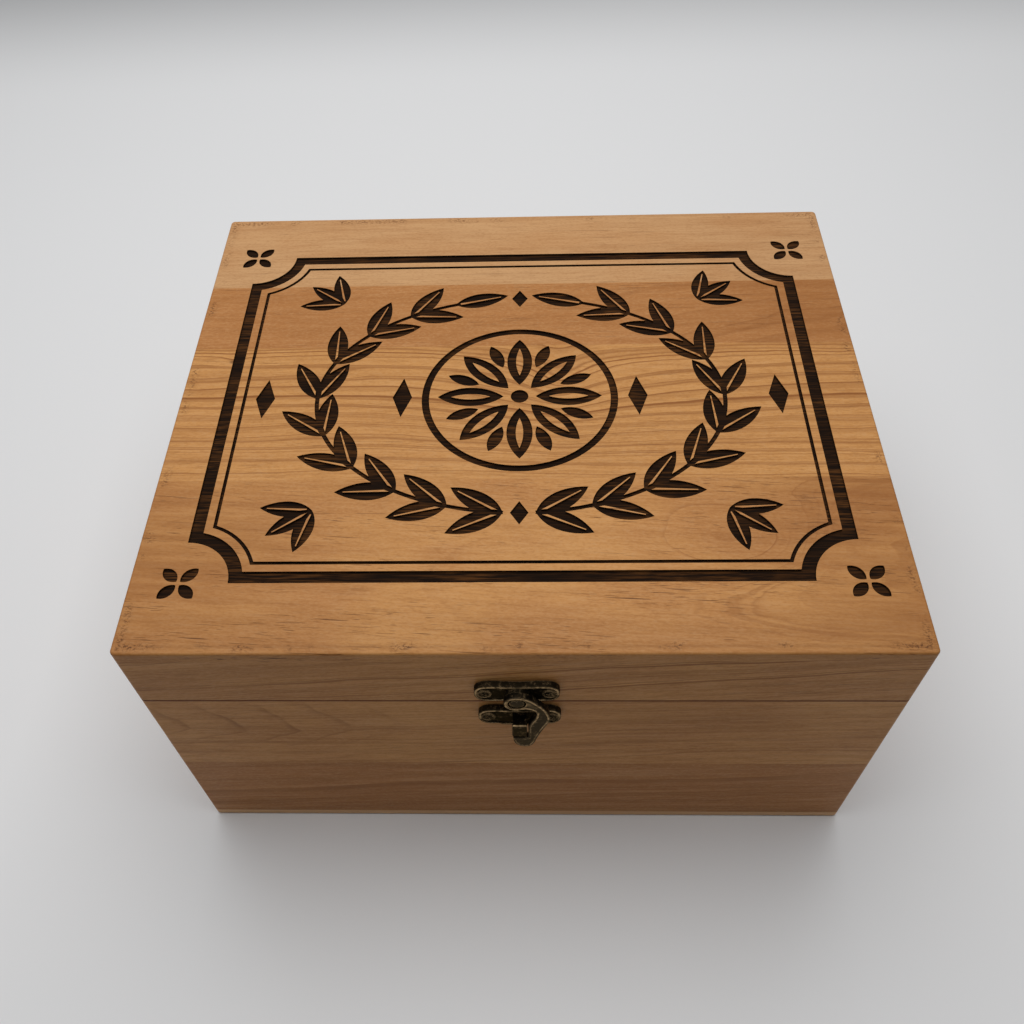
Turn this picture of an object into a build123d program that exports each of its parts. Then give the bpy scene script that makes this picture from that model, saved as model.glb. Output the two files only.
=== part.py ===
"""Hinged wooden gift box with an engraved lid and an antique bronze hook latch.

The carcass is glued up from alder boards: four mitred walls of two boards each on a bottom panel, and a lid
of four mitred rails under a top panel of four boards. Two butt hinges join lid and base at the back, and a
swinging hook on the lid catches a peg on the base at the front.

Frame: origin at the middle of the underside, X to the right, Y to the back, Z up. Sizes are in millimetres.
"""

from build123d import *
import os
from math import atan2, cos, degrees, hypot, pi, sin, sqrt

os.makedirs("parts", exist_ok=True)

# Carcass
box_width = 280.0
box_depth = 240.0
base_height = 112.0
lid_height = 34.0
wall_thickness = 10.0
top_thickness = 5.0
bottom_thickness = 5.0

# Eased edges of the carcass
corner_round = 2.0
top_round = 1.0
bottom_round = 1.5
seam_ease = 0.25
rim_ease = 0.3

# Widths of the lid's boards from the back, where the last one takes what is left
top_board_widths = [50.0, 40.0, 73.5]

# Height of the lower board of each base wall, above the bottom panel
lower_board_heights = {"front": 52.0, "back": 60.0, "left": 45.0, "right": 56.0}

# Engraved ornament of the lid
engraving_depth = 1.0
frame_margin_side = 18.0
frame_margin_end = 29.0
frame_corner_radius = 18.0
frame_band = 5.0
frame_line_gap = 3.0
frame_line = 1.4
wreath_gap_side = 39.0
wreath_gap_end = 31.0
wreath_stem = 1.8
wreath_leaf_length = 24.0
wreath_leaf_width = 9.6
wreath_leaf_spread = 29.0
wreath_leaf_root = 1.5
wreath_start = 5.0
wreath_opening = 19.0
wreath_bud_length = 11.0
wreath_bud_width = 7.0
leaf_pairs = 9
midrib_width = 1.0
petal_count = 8
petal_start = 6.5
petal_length = 27.0
petal_width = 10.4
petal_core_start = 12.0
petal_core_length = 16.0
petal_core_width = 3.0
small_petal_start = 18.0
small_petal_length = 14.0
small_petal_width = 5.4
centre_dot_radius = 3.6
ring_radius = 38.5
ring_line = 3.0
lozenge_length = 22.0
lozenge_width = 8.0
lozenge_gap = 4.0
sprig_leaf_length = 20.0
sprig_leaf_width = 8.0
sprig_spread = 40.0
sprig_reach = 37.0
corner_petal_count = 4
corner_petal_start = 1.0
corner_petal_length = 9.0
corner_petal_width = 4.6

# Wood screws of the hinges and the latch
screw_head_radius = 2.0
screw_shank_radius = 1.0
screw_head_depth = 0.9
screw_dome = 0.3
screw_length = 8.0
screw_slot_length = 2.5
screw_slot_width = 0.5
screw_slot_depth = 0.6
screw_clearance = 0.05

# Hinges, with the pin's axis level with the seam and clear of the back face
hinge_inset = 55.0
hinge_length = 30.0
hinge_reach = 14.0
leaf_thickness = 1.2
leaf_corner_round = 2.0
leaf_seam_gap = 0.2
knuckle_radius = 2.2
knuckle_wood_gap = 0.2
knuckle_count = 5
knuckle_side_gap = 0.15
knuckle_sweep_gap = 0.3
pin_radius = 0.9
pin_head_radius = 1.5
pin_head_length = 0.7
pin_clearance = 0.05
hinge_screw_spacing = 18.0
hinge_screw_drop = 8.8

# Latch plates
latch_offset = -1.0
plate_width = 30.4
plate_height = 10.8
plate_corner_round = 4.6
plate_edge_round = 0.7
plate_thickness = 2.6
plate_notch_width = 13.0
plate_notch_depth = 0.6
lid_plate_rise = 10.0
catch_plate_drop = 8.0
catch_shift = 0.8
plate_screw_spacing = 23.4
catch_apron_width = 15.0
catch_apron_drop = 0.9
catch_apron_round = 1.2

# Pivot of the hook
boss_radius = 4.3
boss_height = 1.6
rivet_radius = 1.5
rivet_head_radius = 2.6
rivet_head_height = 0.9
rivet_tail_radius = 2.3
rivet_tail_length = 0.6
rivet_clearance = 0.05
hook_side_gap = 0.1

# Hook, with its arm cranked outwards towards the tip
hook_thickness = 2.4
hook_eye_radius = 4.7
hook_recess_radius = 3.4
hook_recess_depth = 0.7
hook_band = 6.0
hook_bow = 11.8
hook_bow_inner = 7.3
hook_riser = 9.4
hook_riser_lean = 1.9
hook_neck = 3.0
hook_eye_top_angle = 50.0
hook_eye_low_angle = -52.0
hook_heel_angle = -83.0
hook_tip_angle = -94.0
hook_crank = 2.2
hook_crank_length = 19.0
hook_crank_start = 6.0
hook_bend_radius = 14.0
hook_edge_round = 0.6

# Peg that the hook catches
peg_width = 5.0
peg_height = 7.6
peg_length = 4.3
peg_head_width = 5.6
peg_head_height = 8.6
peg_head_length = 1.5
peg_head_round = 0.6
peg_side_gap = 0.35
peg_under_gap = 0.4

# Places that follow from the sizes above
seam_z = base_height
box_height = base_height + lid_height
panel_z = box_height - top_thickness
front_y = -box_depth / 2
back_y = box_depth / 2
hinge_axis_y = back_y + knuckle_radius + knuckle_wood_gap
hinge_places = {"left": hinge_inset - box_width / 2, "right": box_width / 2 - hinge_inset}
lid_plate_z = seam_z + lid_plate_rise
catch_plate_z = seam_z - catch_plate_drop
catch_plate_x = latch_offset + catch_shift
boss_front = plate_thickness + boss_height
hook_back = boss_front + hook_side_gap
hook_front = hook_back + hook_thickness
countersink_depth = screw_head_depth + screw_clearance
hinge_screw_xs = (-hinge_screw_spacing / 2, hinge_screw_spacing / 2)
plate_screw_xs = (-plate_screw_spacing / 2, plate_screw_spacing / 2)
plate_places = {"lid": (latch_offset, lid_plate_z), "catch": (catch_plate_x, catch_plate_z)}


def save(name, shape):
    """Writes one named piece."""
    shape.label = name
    export_step(shape, f"parts/{name}.step")


def polar(radius, angle):
    """A point at a radius and an angle in degrees."""
    return (radius * cos(angle * pi / 180), radius * sin(angle * pi / 180))


# Wooden carcass


def eased_block(z_low, z_high, ease_top, top, ease_bottom, bottom):
    """The carcass's outer block, with its upright edges rounded and its top and bottom edges eased."""
    block = Pos(0, 0, z_low) * extrude(RectangleRounded(box_width, box_depth, corner_round), z_high - z_low)
    block = ease_top(block.edges().group_by(Axis.Z)[-1], top)
    return ease_bottom(block.edges().group_by(Axis.Z)[0], bottom)


def cavity(z_low, z_high, inward):
    """The hollow inside the walls, flared at the seam: inward is the way into it along Z from the seam."""
    width, depth = box_width - 2 * wall_thickness, box_depth - 2 * wall_thickness
    hollow = Pos(0, 0, z_low) * extrude(Rectangle(width, depth), z_high - z_low)
    rim = Pos(0, 0, seam_z) * Rectangle(width + 2 * rim_ease, depth + 2 * rim_ease)
    waist = Pos(0, 0, seam_z + inward * rim_ease) * Rectangle(width, depth)
    return hollow + loft([rim.face(), waist.face()])


def wall_plan(side):
    """Plan of one mitred wall, from its outside face to its inside face."""
    corners = ((-1, -1), (1, -1), (1, 1), (-1, 1))
    first = ("front", "right", "back", "left").index(side)
    ends = (corners[first], corners[(first + 1) % 4])
    half_w, half_d, t = box_width / 2, box_depth / 2, wall_thickness
    outer = [(sx * half_w, sy * half_d) for sx, sy in ends]
    inner = [(sx * (half_w - t), sy * (half_d - t)) for sx, sy in ends]
    return make_face(Polyline(*outer, *reversed(inner), close=True))


def board(side, z_low, z_high, block, hollow):
    """One board of a mitred wall, trimmed to the eased block and the hollow."""
    prism = Pos(0, 0, z_low) * extrude(wall_plan(side), z_high - z_low)
    return (prism & block) - hollow


def panel_board(y_low, y_high, z_low, z_high, block):
    """One board of a flat panel, across the whole width."""
    slab = Box(box_width, y_high - y_low, z_high - z_low)
    return (Pos(0, (y_low + y_high) / 2, (z_low + z_high) / 2) * slab) & block


# Engraved ornament


def leaf(length, width):
    """A pointed leaf along X from the origin, cut away on both sides of a bare midrib."""
    upper = Bezier((0, 0), (0.3 * length, 0.72 * width), (0.72 * length, 0.5 * width), (length, 0))
    lower = Bezier((length, 0), (0.72 * length, -0.5 * width), (0.3 * length, -0.72 * width), (0, 0))
    tail, tip = 0.1 * length, 0.86 * length
    edge, point = midrib_width / 2, midrib_width / 5
    midrib = make_face(Polyline((tail, -edge), (tip, -point), (tip, point), (tail, edge), close=True))
    return make_face([upper, lower]) - midrib


def lens(start, length, width):
    """A petal along X with two round edges."""
    middle, end = start + length / 2, start + length
    upper = ThreePointArc((start, 0), (middle, width / 2), (end, 0))
    lower = ThreePointArc((end, 0), (middle, -width / 2), (start, 0))
    return make_face([upper, lower])


def lozenge(length, width):
    """A diamond along X."""
    corners = [(-length / 2, 0), (0, -width / 2), (length / 2, 0), (0, width / 2)]
    return make_face(Polyline(*corners, close=True))


def frame_outline(inset):
    """The frame's rectangle with scooped corners, moved inwards."""
    half_w = box_width / 2 - frame_margin_side
    half_d = box_depth / 2 - frame_margin_end
    shape = Rectangle(2 * (half_w - inset), 2 * (half_d - inset))
    for sx in (-1, 1):
        for sy in (-1, 1):
            shape -= Pos(sx * half_w, sy * half_d) * Circle(frame_corner_radius + inset)
    return shape


def frame_lines():
    """A broad band and a thin line inside it."""
    line_start = frame_band + frame_line_gap
    band = frame_outline(0) - frame_outline(frame_band)
    line = frame_outline(line_start) - frame_outline(line_start + frame_line)
    return [band, line]


def wreath_arc(outwards):
    """The line of the right-hand branch on its oval, moved outwards."""
    half_w = box_width / 2 - frame_margin_side - wreath_gap_side + outwards
    half_d = box_depth / 2 - frame_margin_end - wreath_gap_end + outwards
    sweep = 180 - wreath_start - wreath_opening
    return EllipticalCenterArc((0, 0), half_w, half_d, -90 + wreath_start, arc_size=sweep)


def branch():
    """The right-hand branch of the wreath: a stem, pairs of leaves along it and one leaf at its tip."""
    outer, middle, inner = wreath_arc(wreath_stem / 2), wreath_arc(0), wreath_arc(-wreath_stem / 2)
    shapes = [make_face([outer, inner, Line(outer @ 0, inner @ 0), Line(outer @ 1, inner @ 1)])]
    for n in range(leaf_pairs + 1):
        way = middle % (n / leaf_pairs)
        heading = degrees(atan2(way.Y, way.X))
        turns = (0,) if n == leaf_pairs else (-wreath_leaf_spread, wreath_leaf_spread)
        for turn in turns:
            blade = Pos(-wreath_leaf_root, 0) * leaf(wreath_leaf_length, wreath_leaf_width)
            shapes.append(Pos(middle @ (n / leaf_pairs)) * Rot(0, 0, heading + turn) * blade)
    return shapes


def wreath():
    """Two leafy branches that rise from a bud at the bottom of an oval to a bud at its top."""
    half_d = box_depth / 2 - frame_margin_end - wreath_gap_end
    right = branch()
    buds = [Pos(0, sign * half_d) * lozenge(wreath_bud_width, wreath_bud_length) for sign in (-1, 1)]
    return right + [mirror(shape, about=Plane.YZ) for shape in right] + buds


def rosette():
    """Eight petals with a bare core each, small petals between them, a dot and a ring."""
    ring = Circle(ring_radius + ring_line / 2) - Circle(ring_radius - ring_line / 2)
    shapes = [Circle(centre_dot_radius), ring]
    step = 360 / petal_count
    petal = lens(petal_start, petal_length, petal_width)
    petal -= lens(petal_core_start, petal_core_length, petal_core_width)
    for n in range(petal_count):
        small = lens(small_petal_start, small_petal_length, small_petal_width)
        shapes += [Rot(0, 0, n * step) * petal, Rot(0, 0, (n + 0.5) * step) * small]
    return shapes


def side_motifs():
    """Lozenges beside the ring and beside the frame."""
    half_w = box_width / 2 - frame_margin_side
    by_ring = ring_radius + ring_line / 2 + lozenge_gap + lozenge_width / 2
    by_frame = half_w - frame_band - frame_line_gap - frame_line - lozenge_gap - lozenge_width / 2
    places = (-by_frame, -by_ring, by_ring, by_frame)
    return [Pos(x, 0) * lozenge(lozenge_width, lozenge_length) for x in places]


def corner_motifs():
    """A small flower in each scooped corner of the frame, and a sprig of three leaves that points at it."""
    half_w = box_width / 2 - frame_margin_side
    half_d = box_depth / 2 - frame_margin_end
    petal = lens(corner_petal_start, corner_petal_length - corner_petal_start, corner_petal_width)
    step = 360 / corner_petal_count
    shapes = []
    for sx, sy in ((-1, -1), (1, -1), (1, 1), (-1, 1)):
        corner = Pos(sx * half_w, sy * half_d)
        shapes += [corner * Rot(0, 0, (n + 0.5) * step) * petal for n in range(corner_petal_count)]
        heading = degrees(atan2(sy * half_d, sx * half_w))
        root = Rot(0, 0, heading) * Pos(-frame_corner_radius - sprig_reach, 0)
        for turn in (-sprig_spread, 0, sprig_spread):
            shapes.append(corner * root * Rot(0, 0, turn) * leaf(sprig_leaf_length, sprig_leaf_width))
    return shapes


def engraving():
    """The solid that the engraving takes out of the lid's boards."""
    shapes = frame_lines() + wreath() + rosette() + side_motifs() + corner_motifs()
    pattern = Sketch() + shapes
    return Pos(0, 0, box_height - engraving_depth) * extrude(pattern, engraving_depth + 1)


# Screws


def screw():
    """A countersunk wood screw along Z, its head's rim at the origin's level, with a crossed slot."""
    r, s, d = screw_head_radius, screw_shank_radius, screw_head_depth
    dome = ThreePointArc((0, screw_dome), (0.6 * r, 0.68 * screw_dome), (r, 0))
    tip_start = -screw_length + 1.5 * s
    sides = Polyline((r, 0), (s, -d), (s, tip_start), (0, -screw_length), (0, screw_dome))
    profile = Plane.XZ * make_face([dome, sides])
    body = revolve(profile, Axis.Z)
    for turn in (0, 90):
        slot = Box(screw_slot_length, screw_slot_width, 2 * screw_slot_depth)
        body -= Pos(0, 0, screw_dome) * Rot(0, 0, turn) * slot
    return body


def screw_hole(through):
    """Countersunk hole for a screw through a plate, along Z from the plate's face at the origin's level."""
    r, s = screw_head_radius + screw_clearance, screw_shank_radius + screw_clearance
    sink = Pos(0, 0, -countersink_depth / 2) * Cone(s, r, countersink_depth)
    shaft = Pos(0, 0, -through / 2) * Cylinder(s, through)
    lead = Pos(0, 0, 0.5) * Cylinder(r, 1)
    return sink + shaft + lead


def pilot_hole(plate):
    """Hole in the wood behind a plate, along Z from the plate's face at the origin's level."""
    depth = screw_length + screw_clearance
    return Pos(0, 0, -(plate + depth) / 2) * Cylinder(screw_shank_radius + screw_clearance, depth - plate)


def at_front(x, z, proud):
    """A place on the front, where local Z points out of the box."""
    return Pos(x, front_y - proud, z) * Rot(90, 0, 0)


def at_back(x, z, proud):
    """A place on the back, where local Z points out of the box."""
    return Pos(x, back_y + proud, z) * Rot(-90, 0, 0)


def hinge_screw_places(sign):
    """Screws of both hinges' leaves on one side of the seam: sign is 1 for the lid and -1 for the base."""
    z = seam_z + sign * hinge_screw_drop
    return [(x + dx, z) for x in hinge_places.values() for dx in hinge_screw_xs]


# Hinges


def knuckle_spans():
    """Start and end of each knuckle along the pin, from the hinge's middle."""
    pitch, gap = hinge_length / knuckle_count, knuckle_side_gap / 2
    spans = []
    for n in range(knuckle_count):
        low = n * pitch - hinge_length / 2
        spans.append((low + gap * (n > 0), low + pitch - gap * (n < knuckle_count - 1)))
    return spans


def along_pin(low, high, radius):
    """A round bar on the hinge's axis."""
    return Pos((low + high) / 2, hinge_axis_y, seam_z) * Rot(0, 90, 0) * Cylinder(radius, high - low)


def hinge_leaf(x, sign):
    """A leaf with its knuckles: sign is 1 for the lid's leaf and -1 for the base's."""
    tall = hinge_reach - leaf_seam_gap
    middle_z = seam_z + sign * (leaf_seam_gap + tall / 2)
    leaf_body = Pos(0, back_y + leaf_thickness / 2, middle_z) * Box(hinge_length, leaf_thickness, tall)
    upright = leaf_body.edges().filter_by(Axis.Y).sort_by(Axis.Z)
    leaf_body = fillet(upright[-2:] if sign > 0 else upright[:2], leaf_corner_round)
    for n, (low, high) in enumerate(knuckle_spans()):
        if n % 2 == (sign > 0):
            leaf_body += along_pin(low, high, knuckle_radius)
        else:
            gap = knuckle_side_gap
            leaf_body -= along_pin(low - gap, high + gap, knuckle_radius + knuckle_sweep_gap)
    leaf_body -= along_pin(-hinge_length, hinge_length, pin_radius + pin_clearance)
    for dx in hinge_screw_xs:
        place = at_back(dx, seam_z + sign * hinge_screw_drop, leaf_thickness)
        leaf_body -= place * screw_hole(2 * leaf_thickness)
    return Pos(x, 0, 0) * leaf_body


def hinge_pin(x):
    """The hinge's pin with a peened head at each end."""
    half = hinge_length / 2 + pin_clearance
    pin = along_pin(-half, half, pin_radius)
    pin += along_pin(-half - pin_head_length, -half, pin_head_radius)
    pin += along_pin(half, half + pin_head_length, pin_head_radius)
    return Pos(x, 0, 0) * pin


# Latch


def plate_outline():
    """Outline of a latch plate with a shallow dip in each long edge."""
    half, depth = plate_notch_width / 2, plate_notch_depth
    radius = (half**2 + depth**2) / (2 * depth)
    shape = RectangleRounded(plate_width, plate_height, plate_corner_round)
    for sign in (-1, 1):
        shape -= Pos(0, sign * (plate_height / 2 + radius - depth)) * Circle(radius)
    return shape


def plate_body(outline):
    """A cast plate whose front edge is rounded."""
    body = extrude(outline, plate_thickness)
    return fillet(body.faces().sort_by(Axis.Z)[-1].edges(), plate_edge_round)


def lid_plate():
    """The plate on the lid, with the boss that carries the hook."""
    body = plate_body(plate_outline())
    body += Pos(0, 0, plate_thickness / 2 + boss_front / 2) * Cylinder(boss_radius, boss_height)
    bore = rivet_radius + rivet_clearance
    body -= Pos(0, 0, boss_front / 2) * Cylinder(bore, boss_front)
    tail_depth = rivet_tail_length + rivet_clearance
    body -= Pos(0, 0, tail_depth / 2) * Cylinder(rivet_tail_radius + rivet_clearance, tail_depth)
    for x in plate_screw_xs:
        body -= Pos(x, 0, plate_thickness) * screw_hole(2 * plate_thickness)
    return at_front(latch_offset, lid_plate_z, 0) * body


def rivet():
    """The hook's pivot, with a domed head in front and a peened tail sunk in the back of the plate."""
    head_z = hook_front - hook_recess_depth + hook_side_gap
    tail_low = rivet_clearance
    shank = Pos(0, 0, (tail_low + head_z) / 2) * Cylinder(rivet_radius, head_z - tail_low)
    tail = Pos(0, 0, tail_low + rivet_tail_length / 2) * Cylinder(rivet_tail_radius, rivet_tail_length)
    edge = 0.35 * rivet_head_height
    top = ThreePointArc((0, rivet_head_height), (0.6 * rivet_head_radius, 0.8 * rivet_head_height),
                        (rivet_head_radius, edge))
    sides = Polyline((rivet_head_radius, edge), (rivet_head_radius, 0), (0, 0), (0, rivet_head_height))
    head = Pos(0, 0, head_z) * revolve(Plane.XZ * make_face([top, sides]), Axis.Z)
    return at_front(latch_offset, lid_plate_z, 0) * (shank + tail + head)


def peg_reach():
    """Radius about the hook's pivot that clears the peg's lower corners."""
    drop = lid_plate_rise + catch_plate_drop + peg_head_height / 2
    return hypot(drop, peg_head_width / 2 + abs(catch_shift)) + peg_under_gap


def hook_outline():
    """The hook about its pivot: an eye, a bowed arm and a foot that passes under the peg."""
    reach = peg_reach()
    side = catch_shift + peg_head_width / 2 + peg_side_gap
    tip, heel = polar(reach, hook_tip_angle), polar(reach + hook_band, hook_heel_angle)
    toe = (-0.04 * hook_band, -reach - 0.7 * hook_band)
    corner = (side, -sqrt(reach**2 - side**2))
    shoulder = (side + hook_riser_lean, hook_riser - reach)
    eye_top = polar(hook_eye_radius, hook_eye_top_angle)
    eye_low = polar(hook_eye_radius, hook_eye_low_angle)
    outer = Spline(eye_top, (0.6 * hook_bow, 0), (hook_bow, -0.48 * reach), (0.66 * hook_bow, -0.87 * reach),
                   heel, toe, tip)
    under = RadiusArc(tip, corner, -reach)
    riser = Line(corner, shoulder)
    inner = Spline(shoulder, (0.9 * hook_bow_inner, shoulder[1] + hook_neck),
                   (hook_bow_inner, -hook_eye_radius - hook_neck), eye_low)
    return Circle(hook_eye_radius) + make_face([outer, under, riser, inner, Line(eye_low, eye_top)])


def crank_line(proud):
    """The hook's line seen from the side, at its distance from the front of the box at the eye."""
    start = lid_plate_z - hook_crank_start
    end = start - hook_crank_length
    top, low = lid_plate_z + 2 * hook_eye_radius, lid_plate_z - 3 * peg_reach()
    out = -proud - hook_crank
    return FilletPolyline((-proud, top), (-proud, start), (out, end), (out, low), radius=hook_bend_radius)


def crank_slab():
    """The bent slab that gives the hook its thickness and its crank."""
    back, front = crank_line(hook_back), crank_line(hook_front)
    side = Plane.YZ * make_face([back, front, Line(back @ 0, front @ 0), Line(back @ 1, front @ 1)])
    wide = 4 * peg_reach()
    return Pos(-wide / 2, front_y, 0) * extrude(side, wide, dir=(1, 0, 0))


def hook():
    """The swinging hook in its closed position, its eye sunk round the rivet's head."""
    place = at_front(latch_offset, lid_plate_z, 0)
    deep = hook_front + 2 * hook_crank
    body = place * extrude(hook_outline(), deep) & crank_slab()
    body = fillet(body.faces().filter_by(lambda face: face.normal_at().Y < -0.9).edges(), hook_edge_round)
    body -= place * Cylinder(rivet_radius + rivet_clearance, 2 * deep)
    return body - place * Pos(0, 0, hook_front) * Cylinder(hook_recess_radius, 2 * hook_recess_depth)


def catch_plate():
    """The plate on the base, with the peg that the hook catches."""
    outline = plate_outline()
    apron_low = -plate_height / 2 - catch_apron_drop
    apron = Pos(0, apron_low / 2) * RectangleRounded(catch_apron_width, -apron_low, catch_apron_round)
    body = plate_body(outline + apron)
    neck_front = plate_thickness + peg_length
    body += Pos(0, 0, plate_thickness + peg_length / 2) * Box(peg_width, peg_height, peg_length)
    head = Pos(0, 0, neck_front + peg_head_length / 2) * Box(peg_head_width, peg_head_height, peg_head_length)
    head = fillet(head.edges(), peg_head_round)
    body += head
    for x in plate_screw_xs:
        body -= Pos(x, 0, plate_thickness) * screw_hole(2 * plate_thickness)
    return at_front(catch_plate_x, catch_plate_z, 0) * body


def fixing_holes(sign):
    """Every pilot hole in the wood on one side of the seam."""
    middle, plate_z = plate_places["lid" if sign > 0 else "catch"]
    holes = [at_back(x, z, leaf_thickness) * pilot_hole(leaf_thickness) for x, z in hinge_screw_places(sign)]
    pilot = pilot_hole(plate_thickness)
    holes += [at_front(middle + x, plate_z, plate_thickness) * pilot for x in plate_screw_xs]
    return holes


def save_base():
    """Writes the base's boards."""
    block = eased_block(0, seam_z, chamfer, seam_ease, fillet, bottom_round)
    hollow = cavity(bottom_thickness, seam_z, -1)
    save("base_bottom_panel", panel_board(front_y, back_y, 0, bottom_thickness, block))
    holes = fixing_holes(-1)
    for side, lower in lower_board_heights.items():
        joint_z = bottom_thickness + lower
        upper_board = board(side, joint_z, seam_z, block, hollow)
        if side in ("front", "back"):
            upper_board -= holes
        save(f"base_{side}_lower_board", board(side, bottom_thickness, joint_z, block, hollow))
        save(f"base_{side}_upper_board", upper_board)


def save_lid():
    """Writes the lid's rails and the boards of its engraved top."""
    block = eased_block(seam_z, box_height, fillet, top_round, chamfer, seam_ease)
    hollow = cavity(seam_z, panel_z, 1)
    holes = fixing_holes(1)
    for side in ("front", "back", "left", "right"):
        rail = board(side, seam_z, panel_z, block, hollow)
        if side in ("front", "back"):
            rail -= holes
        save(f"lid_{side}_rail", rail)
    pattern = engraving()
    edge = back_y
    for n, width in enumerate([*top_board_widths, None], 1):
        low = front_y if width is None else edge - width
        save(f"lid_top_board_{n}", panel_board(low, edge, panel_z, box_height, block) - pattern)
        edge = low


def save_hinges():
    """Writes both hinges and their screws."""
    for name, x in hinge_places.items():
        save(f"hinge_{name}_base_leaf", hinge_leaf(x, -1))
        save(f"hinge_{name}_lid_leaf", hinge_leaf(x, 1))
        save(f"hinge_{name}_pin", hinge_pin(x))
    for name, sign in (("base", -1), ("lid", 1)):
        screws = [at_back(x, z, leaf_thickness) * screw() for x, z in hinge_screw_places(sign)]
        save(f"hinge_{name}_screws", Compound(screws))


def save_latch():
    """Writes the latch and its screws."""
    save("latch_lid_plate", lid_plate())
    save("latch_rivet", rivet())
    save("latch_hook", hook())
    save("latch_catch_plate", catch_plate())
    for name, (middle, z) in plate_places.items():
        screws = [at_front(middle + x, z, plate_thickness) * screw() for x in plate_screw_xs]
        save(f"latch_{name}_screws", Compound(screws))


save_base()
save_lid()
save_hinges()
save_latch()
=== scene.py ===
"""A hinged wooden gift box with an engraved lid and an antique bronze latch.

It is laid out as an add-on and run as a script. Pieces are in metres, and materials work in millimetres.
"""
from math import cos, pi, radians, sin

import bmesh
import bpy
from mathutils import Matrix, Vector


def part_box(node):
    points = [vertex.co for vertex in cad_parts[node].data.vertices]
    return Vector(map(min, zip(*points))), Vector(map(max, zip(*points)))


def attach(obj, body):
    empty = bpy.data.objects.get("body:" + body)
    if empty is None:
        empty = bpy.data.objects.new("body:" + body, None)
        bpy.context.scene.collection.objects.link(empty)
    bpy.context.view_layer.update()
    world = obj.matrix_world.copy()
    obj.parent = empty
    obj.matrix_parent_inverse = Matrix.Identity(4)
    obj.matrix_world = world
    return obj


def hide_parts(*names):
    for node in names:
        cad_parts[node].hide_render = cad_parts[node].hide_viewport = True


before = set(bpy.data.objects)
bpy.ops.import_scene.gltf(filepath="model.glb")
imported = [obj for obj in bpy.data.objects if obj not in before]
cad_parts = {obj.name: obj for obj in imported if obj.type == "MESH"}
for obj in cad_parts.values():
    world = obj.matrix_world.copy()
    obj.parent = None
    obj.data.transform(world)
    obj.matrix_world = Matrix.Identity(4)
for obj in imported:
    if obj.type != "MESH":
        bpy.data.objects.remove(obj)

bl_info = {
    "name": "Wooden Gift Box",
    "version": (1, 0, 0),
    "blender": (4, 5, 0),
    "location": "View3D > Sidebar > Gift Box",
    "description": "Finishes a hinged wooden gift box: boards, burnt engraving, bronze latch and hinges",
    "category": "Object",
}

MM = 0.001

# Places taken from the CAD pieces, in metres
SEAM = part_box("lid_front_rail")[0].z
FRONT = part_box("base_front_upper_board")[0].y
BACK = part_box("base_back_upper_board")[1].y
PIVOT = (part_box("latch_rivet")[0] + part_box("latch_rivet")[1]) / 2
HOOK_AXIS = Vector((PIVOT.x, FRONT, PIVOT.z))

# The closed box in the materials' millimetres, from the middle of its underside
HALF_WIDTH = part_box("lid_top_board_4")[1].x / MM
HALF_DEPTH = -FRONT / MM
LID_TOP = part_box("lid_top_board_4")[1].z / MM

# The attribute that says how far a point of a casting is rubbed; its 0 on the peg's neck also stands for
# painted shade
RUBBED = "rubbed"


# Shader values

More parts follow.
